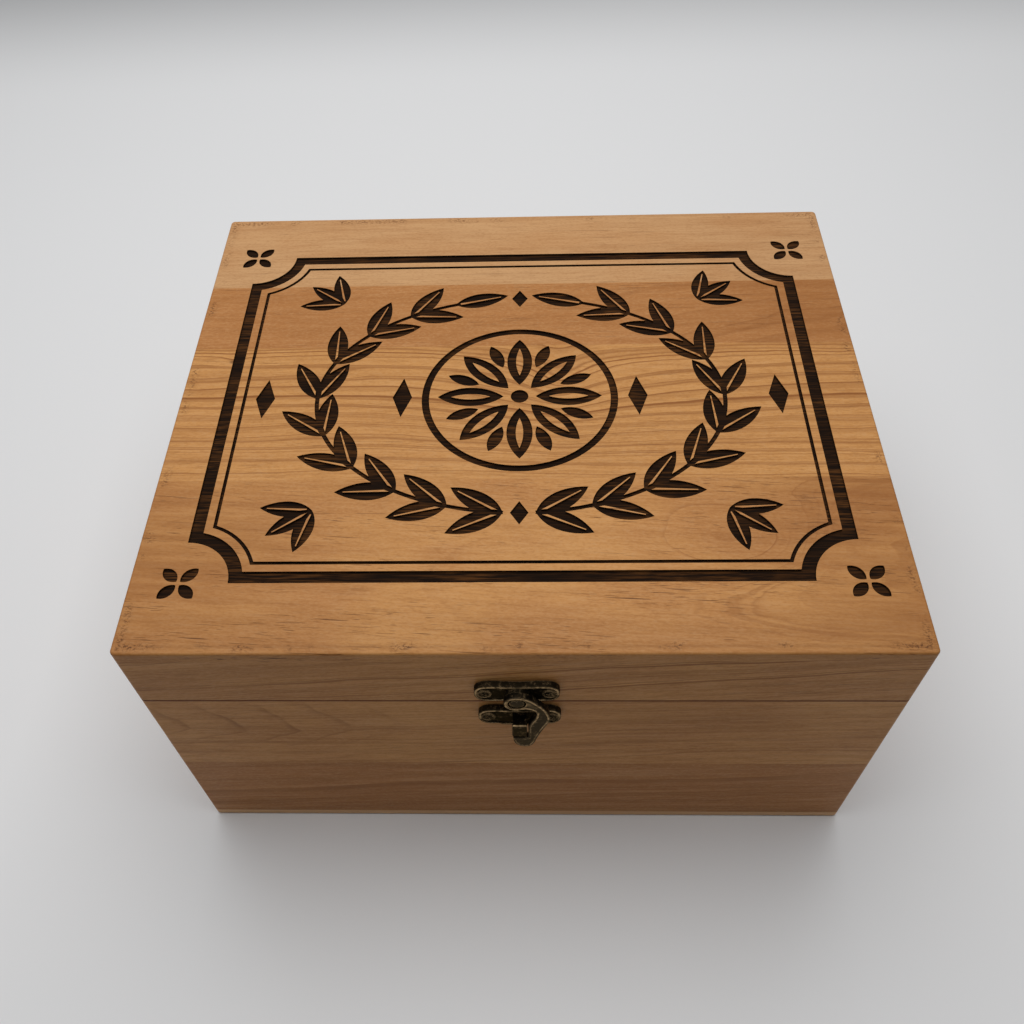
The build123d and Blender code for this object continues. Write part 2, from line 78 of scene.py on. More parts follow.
class Wire:
    """An output socket of a material. Arithmetic on it adds Math nodes, and node() adds any other node."""

    def __init__(self, tree, socket=None):
        self.tree = tree
        self.socket = socket

    def node(self, kind, settings=None, inputs=None, output=0):
        """A node of this kind, with its settings made first and then the values or links of its sockets."""
        added = self.tree.nodes.new(kind)
        for name, value in (settings or {}).items():
            if name == "stops":
                while len(added.color_ramp.elements) < len(value):
                    added.color_ramp.elements.new(0.5)
                for stop, (place, grey) in zip(added.color_ramp.elements, value):
                    stop.position = place
                    stop.color = (grey, grey, grey, 1)
            else:
                setattr(added, name, value)
        for name, value in (inputs or {}).items():
            if isinstance(value, Wire):
                self.tree.links.new(value.socket, added.inputs[name])
            else:
                added.inputs[name].default_value = value
        return Wire(self.tree, added.outputs[output])

    def math(self, operation, *values):
        """A Math node on these values."""
        return self.node("ShaderNodeMath", {"operation": operation}, dict(enumerate(values)))

    def __add__(self, other):
        return self.math("ADD", self, other)

    def __sub__(self, other):
        return self.math("SUBTRACT", self, other)

    def __rsub__(self, other):
        return self.math("SUBTRACT", other, self)

    def __mul__(self, other):
        return self.math("MULTIPLY", self, other)

    def __truediv__(self, other):
        return self.math("DIVIDE", self, other)

    def __pow__(self, other):
        return self.math("POWER", self, other)

    def __abs__(self):
        return self.math("ABSOLUTE", self)

    def __neg__(self):
        return self.math("MULTIPLY", self, -1.0)

    __radd__ = __add__
    __rmul__ = __mul__

    def lower_of(self, other):
        """The lower of this value and another."""
        return self.math("MINIMUM", self, other)

    def higher_of(self, other):
        """The higher of this value and another."""
        return self.math("MAXIMUM", self, other)

    def smooth(self, low, high, start=0.0, end=1.0):
        """Goes softly from start to end while this value goes from low to high."""
        ends = {"Value": self, "From Min": low, "From Max": high, "To Min": start, "To Max": end}
        return self.node("ShaderNodeMapRange", {"interpolation_type": "SMOOTHSTEP"}, ends)

    def clamp(self):
        """This value kept within 0 and 1."""
        return self.node("ShaderNodeClamp", None, {0: self})

    def ramp(self, *stops):
        """A curve through (value, height) stops."""
        return self.node("ShaderNodeValToRGB", {"stops": stops}, {0: self})

    def split(self):
        """The three parts of a vector."""
        parts = self.node("ShaderNodeSeparateXYZ", None, {0: self}).socket.node.outputs
        return [Wire(self.tree, part) for part in parts]

    def scaled(self, scale, shift=(0.0, 0.0, 0.0)):
        """A vector times a scale along each axis, then shifted."""
        return self.node("ShaderNodeVectorMath", {"operation": "MULTIPLY_ADD"}, {0: self, 1: scale, 2: shift})

    def noise(self, size, seed, detail=2.0, rough=0.5):
        """Noise whose grains are about this size, in millimetres, along each axis of this vector."""
        shift = (seed * 7.31, seed * 3.77, seed * 5.13)
        place = self.scaled([1 / length for length in size], shift)
        values = {"Vector": place, "Scale": 1.0, "Detail": detail, "Roughness": rough}
        return self.node("ShaderNodeTexNoise", {"noise_dimensions": "3D"}, values)

    def swing(self, size, seed, detail=2.0):
        """Noise about zero, most of it within -1 and 1."""
        return self.noise(size, seed, detail) * 4.0 - 2.0

    def hill(self, place, width):
        """A bell of height 1 at this place."""
        away = (self - place) / width
        return self.math("EXPONENT", -(away * away))

    def mix(self, under, over):
        """Two colours mixed, all of the second where this value is 1 or more."""
        return self.node("ShaderNodeMix", {"data_type": "RGBA"}, {0: self, 6: under, 7: over}, 2)

    def bump(self, strength, distance):
        """Normals that follow this value as a height, which rises by distance in metres for each 1."""
        return self.node("ShaderNodeBump", None, {"Strength": strength, "Distance": distance, "Height": self})


def opaque(shade):
    """A colour with its alpha."""
    return (*shade, 1.0)


def new_material(name):
    """A material, its shader's inputs and the first wire of its tree."""
    material = bpy.data.materials.new(name)
    material.use_nodes = True
    tree = material.node_tree
    return material, tree.nodes["Principled BSDF"].inputs, Wire(tree)


def feed(inputs, name, value):
    """Links a wire to one input of a node."""
    value.tree.links.new(value.socket, inputs[name])


def cover(share, other):
    """Lays another shader over the material's own where share is 1."""
    tree = share.tree
    own = Wire(tree, tree.nodes["Principled BSDF"].outputs[0])
    both = share.node("ShaderNodeMixShader", None, {0: share, 1: own, 2: other})
    feed(tree.nodes["Material Output"].inputs, "Surface", both)


def millimetres(start):
    """The piece's own coordinates in millimetres."""
    return start.node("ShaderNodeTexCoord", output=3).scaled((1000.0, 1000.0, 1000.0))


# Sizes and colours that a user would change

def colour(red, green, blue):
    """A screen colour, 0 to 255 a channel, as the linear numbers that a shader takes."""
    shares = [value / 255 for value in (red, green, blue)]
    return tuple(share / 12.92 if share <= 0.04045 else ((share + 0.055) / 1.055) ** 2.4 for share in shares)


def shade_setting(name, description, *channels):
    """A setting for a colour, given as it shows on the screen."""
    return bpy.props.FloatVectorProperty(
        name=name, description=description, subtype="COLOR", default=colour(*channels))


def length_setting(name, description, length):
    """A setting for a length, given in millimetres."""
    return bpy.props.FloatProperty(
        name=name, description=description, default=length * MM, subtype="DISTANCE", unit="LENGTH")


def share_setting(name, description, share):
    """A setting that goes from 0 to 1."""
    return bpy.props.FloatProperty(
        name=name, description=description, default=share, min=0.0, max=1.0, subtype="FACTOR")


class BoxWoodSettings(bpy.types.PropertyGroup):
    """Colours and finish of the boards."""

    pale: shade_setting("Pale board", "Colour of the palest boards", 191, 148, 103)
    light: shade_setting("Light board", "Colour of the light boards", 192, 138, 79)
    red: shade_setting("Red board", "Colour of the reddish boards", 170, 115, 64)
    edge: shade_setting("Bottom panel", "Colour of the paler bottom panel's edge", 206, 162, 117)
    ring: shade_setting("Ring line", "Colour of the growth ring lines", 134, 82, 36)
    pore: shade_setting("Pores", "Colour of the short dark pore lines", 92, 53, 20)
    # Colour of a darker, reddish band painted along the seam under the lid
    seam: shade_setting("Seam", "Reddish dirt in the seam under the lid", 84, 27, 15)
    burnt: shade_setting("Burnt wood", "Colour of the engraving's burnt floor", 20, 11, 6)
    streak: shade_setting("Burnt streaks", "Paler streaks in the burnt floor", 80, 49, 22)
    roughness: share_setting("Roughness", "Roughness of the sanded, oiled surface", 0.5)
    gloss: share_setting("Gloss", "Strength of the wood's reflections", 0.16)


class BoxBronzeSettings(bpy.types.PropertyGroup):
    """Colours and wear of the antique bronze."""

    sheen: shade_setting("Sheen", "Warm tint of the patina's reflections", 230, 212, 184)
    dark: shade_setting("Patina", "Dark brown patina", 33, 27, 18)
    hook: shade_setting("Hook", "Lighter patina of the handled hook and rivet", 55, 47, 36)
    # On the peg's neck, under its head, this black also stands for painted shade
    deep: shade_setting("Recess", "Nearly black grime in the recesses", 9, 7, 5)
    worn: shade_setting("Worn edge", "Brassy metal where the patina is rubbed off", 204, 172, 128)
    gloss: share_setting("Gloss", "Strength of the dull patina's own reflections", 0.15)
    wear: length_setting("Wear width", "Width of the rubbed edges", 0.6)


class BoxLatchSettings(bpy.types.PropertyGroup):
    """Finer sizes of the cast latch."""

    corner: length_setting("Plate ends", "Radius of the plates' round ends", 4.6)
    edge: length_setting("Edge round", "Rounding of the cast front edges", 0.55)
    rim: length_setting("Rim", "Width of the raised rim round each plate", 0.3)
    sunk: length_setting("Field depth", "How far the field inside the rim is sunk", 0.45)
    dip: length_setting("Dip", "Depth of the shallow dip in the plates' long edges", 0.6)
    hook_rim: length_setting("Hook rim", "Width of the hook's raised rim", 0.25)
    hook_sunk: length_setting("Hook field", "How far the hook's middle is sunk", 0.2)


class BoxScrewSettings(bpy.types.PropertyGroup):
    """Sizes of the cross-head screws."""

    head: length_setting("Head", "Radius of the screw heads", 2.0)
    dome: length_setting("Dome", "Height of the domed heads", 0.3)
    slot: length_setting("Slot", "Length of the crossed slots", 2.6)
    slot_width: length_setting("Slot width", "Width of the crossed slots", 0.56)
    slot_depth: length_setting("Slot depth", "Depth of the crossed slots", 0.55)
    length: length_setting("Length", "Length from the head's edge to the tip", 7.7)


class BoxStageSettings(bpy.types.PropertyGroup):
    """Floor and light of the picture."""

    floor: shade_setting("Floor", "Colour of the paper that the box stands on", 224, 225, 227)
    # The far floor colour is painted shade: the paper is darkened far behind the box, a little more to the
    # left
    far: shade_setting("Far floor", "Colour of the paper far behind the box", 152, 153, 155)
    key: bpy.props.FloatProperty(
        name="Key light", description="Power of the soft light above and behind the box",
        default=17.1, min=0.0, unit="POWER")
    fill: bpy.props.FloatProperty(
        name="Sky", description="Strength of the even light from all round", default=0.095, min=0.0)
    backdrop: bpy.props.FloatProperty(
        name="Backdrop", description="Brightness of the pale backdrop, as seen and mirrored",
        default=0.5, min=0.0)


# Wood

# Each board's wood, in millimetres from the middle of the box's underside. The grain runs along X, or along Y
# where turned. Across is the other level direction, and up is Z. Pairs are (across, up). The keys are:
# tone, the setting that colours the board, and seed, the number that starts its noise
# spacing, the width of one year's growth, and pith, the place that the growth rings run round
# lean, how far the pith moves for each step along, and slope, how far the fibres do
# rings, how strong the ring lines are, and pores, how strong the pores are
# even, how alike the years are and the stretches of one line, and warp, how far the rings wander
# mottle, fibre and bands, how strong the reddish clouds, the fine fibres and the broad bands are
# focus, the stretch where the rings show most: place along, width
# dips, pointed bends of the rings: place along, width, depth, place across, spread
# whorls, round bends of the rings: place along, place across, width, height
# knots, small dark knots: place along, place across, size
# flames, nested pointed tips on a wall: height, spacing, place along, width
# stains, darker patches: place along, place across the face, width, strength. On the lid's boards they are
# partly the wood's own tone and partly painted shade towards the lid's ends
BOARDS = {
    "lid_top_board_1": dict(
        tone="pale", seed=1, spacing=6.0, pith=(330, -60), lean=(0.02, 0.0), rings=0.16, pores=0.6,
        even=0.8, mottle=0.35, fibre=0.42, bands=0.12, stains_and_shade=((120, 95, 70, 0.16),)),
    "lid_top_board_2": dict(
        tone="red", seed=2, spacing=4.2, pith=(10, 20), lean=(-0.05, 0.12), rings=0.75, pores=0.8, even=0.8,
        warp=0.7, mottle=0.2, fibre=0.45, bands=0.16, focus=(105, 60),
        stains_and_shade=((140, 50, 75, 0.34), (118, 66, 40, 0.3), (-100, 52, 36, 0.18))),
    "lid_top_board_3": dict(
        seed=3, spacing=5.3, pith=(-420, -60), lean=(-0.012, 0.0), rings=1.25, pores=0.6, even=0.9,
        warp=0.7, mottle=0.12, fibre=0.55, bands=0.14, dips=((16, 26, 19.0, 5, 24),),
        knots=((-75, 14, 2.2), (-122, 22, 1.8), (26, 38, 0.9), (73, 22, 0.9)), stains_and_shade=((140, 4, 50, 0.12),)),
    "lid_top_board_4": dict(
        seed=4, spacing=4.6, pith=(-96, 66), lean=(0.10, 0.14), rings=0.9, pores=1.5, mottle=0.7, fibre=0.5,
        bands=0.13, slope=(-0.06, 0.0), focus=(92, 46), whorls=((78, -72, 26, 22), (-98, -124, 30, 26)),
        stains_and_shade=((126, -50, 44, 0.76), (136, -100, 50, 0.56), (-136, -78, 62, 0.62))),
    "lid_front_rail": dict(
        seed=5, spacing=5.0, pith=(0, 360), lean=(0.0, 0.1), slope=(0.0, 0.1), rings=0.9, fibre=0.65,
        bands=0.3),
    "lid_back_rail": dict(
        seed=6, spacing=5.5, pith=(0, -300), lean=(0.0, -0.05), slope=(0.0, -0.05), rings=0.7),
    "lid_left_rail": dict(seed=7, turned=True, spacing=6.2, pith=(0, 330), lean=(0.0, 0.03), rings=0.7),
    "lid_right_rail": dict(seed=8, turned=True, spacing=5.2, pith=(0, -280), lean=(0.0, 0.06), rings=0.7),
    "base_front_upper_board": dict(
        seed=9, spacing=8.0, pith=(0, 330), lean=(0.0, 0.05), slope=(0.0, 0.03), rings=0.5, bands=0.3,
        flames=(88, 21, -104, 54), stains_and_shade=((52, 100, 26, 0.3), (84, 96, 22, 0.24))),
    "base_back_upper_board": dict(seed=10, spacing=7.0, pith=(30, 260), lean=(0.0, 0.04)),
    "base_left_upper_board": dict(
        seed=11, turned=True, spacing=4.0, pith=(70, 84), lean=(-0.12, 0.03), warp=0.4),
    "base_right_upper_board": dict(seed=12, turned=True, spacing=5.4, pith=(-20, -260), lean=(0.0, 0.05)),
    "base_front_lower_board": dict(
        tone="red", seed=13, spacing=11.0, pith=(0, -240), lean=(0.0, 0.07), slope=(0.0, 0.05), rings=0.8,
        pores=0.6, mottle=0.0, fibre=0.55, bands=0.4),
    "base_back_lower_board": dict(
        tone="red", seed=14, spacing=10.0, pith=(0, 280), lean=(0.0, -0.06), pores=0.6, mottle=0.0),
    "base_left_lower_board": dict(
        tone="red", seed=15, turned=True, spacing=11.0, pith=(0, -260), lean=(0.0, 0.05), pores=0.6,
        mottle=0.0),
    "base_right_lower_board": dict(
        tone="red", seed=16, turned=True, spacing=9.0, pith=(0, 220), lean=(0.0, -0.05), pores=0.6,
        mottle=0.0),
    "base_bottom_panel": dict(
        tone="pale", seed=17, spacing=6.0, pith=(220, -60), lean=(0.02, 0.0), rings=0.3, pores=0.6,
        mottle=0.3, fibre=0.45, bands=0.14),
}

# What a board has where BOARDS says nothing else
USUAL_BOARD = dict(
    tone="light", turned=False, slope=(0.0, 0.0), rings=0.6, pores=0.7, even=0.4, warp=1.0, mottle=0.5,
    fibre=0.6, bands=0.26, dips=(), whorls=(), knots=(), stains_and_shade=())

# Noises that follow the fibres: size of their grains in millimetres, rise of the seed, detail, roughness
WOOD_NOISES = {
    "fibres": ((13.0, 0.95, 0.95), 3.0, 3.0, 0.65),
    "bands": ((80.0, 4.2, 4.2), 4.0, 2.0, 0.55),
    "flecks": ((1.5, 0.6, 0.6), 6.0, 1.0, 0.5),
    "crowds": ((40.0, 9.0, 9.0), 7.0, 0.0, 0.5),
    "short pores": ((6.0, 0.38, 0.38), 8.0, 1.0, 0.5),
    "long pores": ((24.0, 0.6, 0.6), 9.0, 1.0, 0.5),
}

# How dark a line is through one year's growth, as (share of the year, darkness)
RING_LINE = ((0.0, 0.14), (0.06, 0.0), (0.42, 0.05), (0.72, 0.4), (0.9, 1.0), (0.96, 0.6), (1.0, 0.14))
FLAME_LINE = ((0.0, 0.1), (0.03, 0.0), (0.5, 0.05), (0.8, 0.3), (0.94, 1.0), (1.0, 0.1))


def ring_field(grain, board):
    """The growth rings: how far the year has gone, 0 to 1, and a random strength for each year."""
    along, across, up = grain.split()
    pith_across, pith_up = board["pith"]
    lean_across, lean_up = board["lean"]
    seed = board["seed"]
    warp = board["warp"]
    sideways = across - along * lean_across - pith_across
    rise = up - along * lean_up - pith_up
    reach = (sideways * sideways + rise * rise) ** 0.5
    reach = reach + grain.swing((120.0, 40.0, 40.0), seed, 1.0) * (3.2 * warp)
    reach = reach + grain.swing((30.0, 9.0, 9.0), seed + 0.3, 3.0) * (0.8 * warp)
    for place_along, width, depth, place_across, spread in board["dips"]:
        away = (along - place_along) / width
        dip = away.math("EXPONENT", -((away * away + 0.04) ** 0.5))
        reach = reach + dip * across.hill(place_across, spread) * depth
    bends = [(*place, width, width * 0.6, height) for *place, width, height in board["whorls"]]
    bends += [(*place, size * 4.0, size * 1.6, size * 1.1) for *place, size in board["knots"]]
    for place_along, place_across, length, width, height in bends:
        reach = reach + along.hill(place_along, length) * across.hill(place_across, width) * height
    years = reach / board["spacing"]
    drift = years.node("ShaderNodeTexNoise", {"noise_dimensions": "1D"}, {"W": years * 0.7, "Detail": 0.0})
    years = years + drift * 0.9
    season = years.math("FRACT", years)
    year = years.math("FLOOR", years)
    strength = year.node("ShaderNodeTexWhiteNoise", {"noise_dimensions": "1D"}, {"W": year + seed * 13.0})
    return season, strength


def flame_lines(grain, board):
    """Nested pointed tips, as where growth rings run out through a board's face."""
    along, _, up = grain.split()
    height, spacing, place_along, width = board["flames"]
    seed = board["seed"]
    rise = up - height + grain.swing((34.0, 30.0, 12.0), seed + 0.6, 1.0) * 2.4
    above = rise.higher_of(0.0)
    below = (-rise).higher_of(0.0)
    waver = grain.swing((9.0, 9.0, 5.0), seed + 0.7) * 0.8
    reach = along + above * 0.46 + above * above * 0.012 + below * 1.9 + waver
    line = reach.math("FRACT", reach / spacing).ramp(*FLAME_LINE)
    uneven = grain.noise((12.0, 12.0, 6.0), seed + 0.9, 1.0).smooth(0.3, 0.6, 0.35, 1.0)
    return line * uneven * along.hill(place_along, width) * up.hill(height + 4.0, 22.0)


def ring_lines(grain, threads, board):
    """How dark the lines of the growth rings are."""
    season, strength = ring_field(grain, board)
    even = board["even"]
    patchy = threads.noise((70.0, 14.0, 14.0), board["seed"] + 2.0, 1.0).smooth(0.3, 0.6, even, 1.0)
    lines = season.ramp(*RING_LINE) * strength.smooth(0.0, 1.0, even * 0.6, 1.0) * patchy * board["rings"]
    if "focus" in board:
        lines = lines * (grain.split()[0].hill(*board["focus"]) * 0.8 + 0.2)
    if "flames" in board:
        lines = lines.higher_of(flame_lines(grain, board) * 0.8)
    return lines


def knot_marks(grain, board):
    """Dark where the board has its knots."""
    along, across, _ = grain.split()
    marks = 0.0
    for place_along, place_across, size in board["knots"]:
        reach = (((along - place_along) / 1.7) ** 2.0 + (across - place_across) ** 2.0) ** 0.5
        marks = reach.smooth(size * 0.75, size * 0.2) + marks
    return marks


def inboard(place):
    """How far a point lies inside the closed box's sides, seen from above."""
    x, y, _ = place.split()
    return (HALF_WIDTH - abs(x)).lower_of(HALF_DEPTH - abs(y))


def lid_marks_and_painted_shade(place):
    """Dark rubbed marks a little inboard of the lid's top edges, most at the front corners and the back, a
    faint dark line inboard of the front edge, and painted shade that darkens the top towards its front edge.
    """
    x, y, z = place.split()
    inside = inboard(place)
    from_front = y + HALF_DEPTH
    patches = place.noise((11.0, 11.0, 11.0), 41.0, 1.0).smooth(0.52, 0.66)
    corners = (HALF_WIDTH - abs(x)).smooth(22.0, 6.0) * (HALF_DEPTH - abs(y)).smooth(20.0, 6.0)
    smudges = (x.hill(-76.0, 12.0) + x.hill(-126.0, 9.0)) * (HALF_DEPTH - y).smooth(8.0, 5.0)
    speckle = place.noise((1.3, 0.8, 0.8), 43.0, 3.0, 0.7).smooth(0.47, 0.6)
    scuffs = inside.hill(2.9, 1.6) * (patches + corners + smudges).clamp() * speckle
    line = inside.hill(3.0, 0.7) * from_front.smooth(10.0, 4.0) * 0.2
    # Painted shade: the top is darkened towards its front edge, where the light falls off
    painted_front_shade = from_front.smooth(26.0, 3.0, 0.0, 0.2)
    return (scuffs + line + painted_front_shade) * (LID_TOP - z).smooth(1.2, 0.5)


def carved_mask(place):
    """All of it on the floors and walls of the lid's engraving."""
    down = LID_TOP - place.split()[2]
    return down.smooth(0.1, 0.28) * down.smooth(3.0, 2.0) * inboard(place).smooth(2.5, 3.5)


def figure_layers(grain, threads, noises, board, look):
    """The wood's figure as (strength, colour) layers, lowest first."""
    bands, fibres, flecks = noises["bands"], noises["fibres"], noises["flecks"]
    clouds = grain.noise((46.0, 20.0, 20.0), board["seed"] + 5.0, 2.0)
    return [
        (clouds.smooth(0.3, 0.7, 0.0, board["mottle"]), look.red),
        (bands.smooth(0.46, 0.3, 0.0, 0.7 * board["bands"]), look.pale),
        (bands.smooth(0.42, 0.68, 0.0, board["bands"]), look.ring),
        (fibres.smooth(0.5, 0.3, 0.0, 0.4 * board["fibre"]), look.pale),
        (fibres.smooth(0.44, 0.7, 0.0, 0.5 * board["fibre"]), look.ring),
        (flecks.smooth(0.5, 0.3, 0.0, 0.24), look.pale),
        (flecks.smooth(0.5, 0.72, 0.0, 0.2), look.ring),
        (ring_lines(grain, threads, board), look.ring),
    ]


def stain_and_shade_layers(grain, noises, board, look, on_top):
    """The board's darker patches as (strength, colour) layers: partly the wood's own tone, and on the lid's
    boards partly painted shade where the light falls off towards the lid's ends.
    """
    along, across, up = grain.split()
    face = across if on_top else up
    uneven = noises["bands"].smooth(0.35, 0.6, 0.6, 1.0)
    layers = []
    for place_along, place_across, width, strength in board["stains_and_shade"]:
        # Each patch is partly the wood's tone and, at the lid's ends, partly painted shade
        dark_patch = along.hill(place_along, width) * face.hill(place_across, width * 0.6)
        layers.append((dark_patch * uneven * strength, look.ring))
    return layers


def mark_layers(node, place, grain, board, look, on_top):
    """Knots, a darker reddish band along the seam, the panel's paler edge, and the lid's scuffs with painted
    shade towards its front edge as (strength, colour) layers.
    """
    at_side = inboard(place).smooth(1.6, 0.3)
    # A darker, reddish band painted along the seam, on the outer faces only
    seam = abs(place.split()[2] - SEAM / MM).smooth(0.75, 0.25)
    layers = []
    if board["knots"]:
        layers.append((knot_marks(grain, board) * 0.7, look.pore))
    layers.append((seam * at_side * 0.8, look.seam))
    if node == "base_bottom_panel":
        layers.append((at_side, look.edge))
    if on_top:
        # The lid's scuffs and marks, with painted shade towards its front edge, in the pore colour
        layers.append((lid_marks_and_painted_shade(place) * 0.75, look.pore))
    return layers


def follow_fibres(grain, board):
    """The grain's coordinates, sheared so that along is along the fibres."""
    along, across, up = grain.split()
    slope_across, slope_up = board["slope"]
    parts = {0: along, 1: across - along * slope_across, 2: up - along * slope_up}
    return grain.node("ShaderNodeCombineXYZ", None, parts)


def wood_material(node, board, look):
    """One board's wood: rings, fibres, pores, mottling, darker patches, knots, scuffs, a darker reddish band
    along the seam, burnt engraving, and on the lid's top painted shade towards its front edge and ends.
    """
    material, inputs, start = new_material("wood_" + node)
    on_top = node.startswith("lid_top")
    place = millimetres(start)
    grain = place
    if board["turned"]:
        grain = place.node("ShaderNodeMapping", None, {"Vector": place, "Rotation": (0.0, 0.0, pi / 2)})
    threads = follow_fibres(grain, board)
    noises = {}
    for name, (size, raised, detail, rough) in WOOD_NOISES.items():
        noises[name] = threads.noise(size, board["seed"] + raised, detail, rough)
    crowds = noises["crowds"].smooth(0.38, 0.62, 0.15, 1.0) * board["pores"]
    pores = noises["short pores"].smooth(0.64, 0.72) * crowds
    dashes = noises["long pores"].smooth(0.66, 0.71) * crowds

    layers = figure_layers(grain, threads, noises, board, look)
    layers += stain_and_shade_layers(grain, noises, board, look, on_top)
    layers.append((pores * 0.45 + dashes * 0.58, look.pore))
    layers += mark_layers(node, place, grain, board, look, on_top)
    shade = opaque(getattr(look, board["tone"]))
    for strength, tint in layers:
        shade = strength.mix(shade, opaque(tint))
    feed(inputs, "Base Color", shade)
    feed(inputs, "Roughness", noises["fibres"] * 0.16 + (look.roughness - 0.08))
    height = noises["fibres"] * 0.5 - (pores + dashes) * 0.8
    feed(inputs, "Normal", height.bump(0.2, 0.2 * MM))
    inputs["Specular IOR Level"].default_value = look.gloss
    if on_top:
        burn(place, grain, look)
    return material


def burn(place, grain, look):
    """Gives the engraving its burnt floors and walls: a dull, near black wood under streaks of soot."""
    char = grain.noise((14.0, 0.7, 0.7), 51.0, 3.0, 0.65)
    soot = grain.noise((36.0, 14.0, 14.0), 53.0, 1.0).smooth(0.35, 0.65)
    shade = (char.smooth(0.4, 0.68) * (soot * 0.75 + 0.2)).mix(opaque(look.burnt), opaque(look.streak))
    dull = place.node("ShaderNodeBsdfPrincipled", None, {"Base Color": shade, "Roughness": 0.85})
    inputs = dull.socket.node.inputs
    inputs["Specular IOR Level"].default_value = 0.06
    feed(inputs, "Normal", char.bump(0.5, 0.2 * MM))
    cover(carved_mask(place), dull)


# Antique bronze

def bronze_material(name, look, tone="dark", worn_share=1.0, marked=False, seed=0.0):
    """Brown patina, rubbed bright along edges and marked rims, black in the recesses, with small pits."""
    material, inputs, start = new_material(name)
    place = millimetres(start)
    rounded = start.node("ShaderNodeBevel", {"samples": 6}, {"Radius": look.wear})
    flat = start.node("ShaderNodeNewGeometry", output=1)
    alike = rounded.node("ShaderNodeVectorMath", {"operation": "DOT_PRODUCT"}, {0: rounded, 1: flat}, 1)
    edge = (1 - alike).smooth(0.012, 0.12)
    blotch = place.noise((1.8, 1.8, 1.8), 61.0 + seed, 4.0, 0.6)
    grit = place.noise((0.35, 0.35, 0.35), 63.0 + seed, 3.0, 0.6)
    shade = opaque(getattr(look, tone))
    rubbed = edge * blotch.smooth(0.3, 0.55) * worn_share
    if marked:
        level = start.node("ShaderNodeAttribute", {"attribute_name": RUBBED}, output=2)
        shade = (level + blotch * 0.3).smooth(0.56, 0.16).mix(shade, opaque(look.deep))
        rim = level.smooth(0.7, 1.0) * blotch.smooth(0.34, 0.6, 0.1, 0.56)
        rubbed = rubbed * level.smooth(0.1, 0.6) * 0.6 + rim
    glints = blotch.smooth(0.5, 0.72) * grit.smooth(0.42, 0.62) * 0.3
    rubbed = (rubbed + glints).clamp()
    feed(inputs, "Base Color", rubbed.mix(shade, opaque(look.worn)))
    feed(inputs, "Metallic", rubbed.smooth(0.0, 1.0, 0.85, 1.0))
    feed(inputs, "Roughness", 0.52 - rubbed * 0.2 + grit * 0.16)
    feed(inputs, "Normal", (grit * 0.6 + blotch * 0.6).bump(0.35, 0.1 * MM))
    inputs["Specular Tint"].default_value = opaque(look.sheen)
    inputs["Specular IOR Level"].default_value = look.gloss
    return material


def mark_rubbed(piece, rubbed):
    """Writes how far each point is rubbed: 0 in a recess, a half on patina, 1 on a worn rim; on the peg's
    neck the 0 is partly painted shade.
    """
    marks = piece.data.attributes.new(RUBBED, "FLOAT", "POINT")
    for vertex, mark in zip(piece.data.vertices, marks.data):
        mark.value = rubbed(vertex.co)


def between(value, low, high, start, end):
    """From start to end while value goes from low to high."""
    share = min(1.0, max(0.0, (value - low) / (high - low)))
    return start + (end - start) * share


# Modelling by hand

ROUND_SIDES = 40


def select_only(*pieces):
    """Selects these objects alone and makes the first of them the active one."""
    bpy.ops.object.select_all(action="DESELECT")
    for piece in pieces:
        piece.select_set(True)
    if pieces:
        bpy.context.view_layer.objects.active = pieces[0]


def apply_place():
    """Moves the selected object's place, turn and scale into its mesh."""
    bpy.ops.object.transform_apply(location=True, rotation=True, scale=True)


def choose(kind, wanted):
    """Selects only those edges or faces of the mesh being edited for which wanted says yes."""
    bpy.ops.mesh.select_mode(type=kind)
    bpy.ops.mesh.select_all(action="DESELECT")
    mesh = bmesh.from_edit_mesh(bpy.context.object.data)
    for item in {"EDGE": mesh.edges, "FACE": mesh.faces}[kind]:
        if wanted(item):
            item.select_set(True)
    bmesh.update_edit_mesh(bpy.context.object.data)


def faces_front(face):
    """A face that looks forwards."""
    return face.normal.y < -0.9


def is_front_face(face):
    """The flat front of a casting, apart from its rounded edges."""
    return face.normal.y < -0.999


def front_outline(edge):
    """An edge where a face that looks forwards meets one that doesn't."""
    return sorted(faces_front(face) for face in edge.link_faces) == [False, True]


def move_points(moved):
    """Moves each vertex of the mesh being edited to where moved puts it."""
    mesh = bmesh.from_edit_mesh(bpy.context.object.data)
    for vertex in mesh.verts:
        vertex.co = moved(vertex.co.copy())
    mesh.normal_update()
    bmesh.update_edit_mesh(bpy.context.object.data)


def select_whole():
    """Selects all of the mesh being edited."""
    bpy.ops.mesh.select_all(action="SELECT")


def turn_faces_out():
    """Makes every face of the mesh being edited point outwards."""
    select_whole()
    bpy.ops.mesh.normals_make_consistent(inside=False)


def leave_edit():
    """Leaves edit mode, and gives the object that was edited."""
    bpy.ops.object.mode_set(mode="OBJECT")
    return bpy.context.object


def add_block(low, high):
    """Adds a block between two corners, left in edit mode."""
    select_only()
    bpy.ops.mesh.primitive_cube_add(size=1.0, location=(low + high) / 2, scale=high - low)
    apply_place()
    bpy.ops.object.mode_set(mode="EDIT")


def cut(places, normal):
    """Cuts the whole mesh through these points, across this direction."""
    for place in places:
        select_whole()
        bpy.ops.mesh.bisect(plane_co=place, plane_no=normal)


def round_off(width, segments=4):
    """Rounds the selected edges over this width."""
    bpy.ops.mesh.bevel(offset=width, segments=segments, affect="EDGES")


def pull(step):
    """Extrudes the selected edges by this step."""
    bpy.ops.mesh.extrude_edges_move(TRANSFORM_OT_translate={"value": step})


def push(step):
    """Extrudes the selected faces by this step."""
    bpy.ops.mesh.extrude_region_move(TRANSFORM_OT_translate={"value": step})


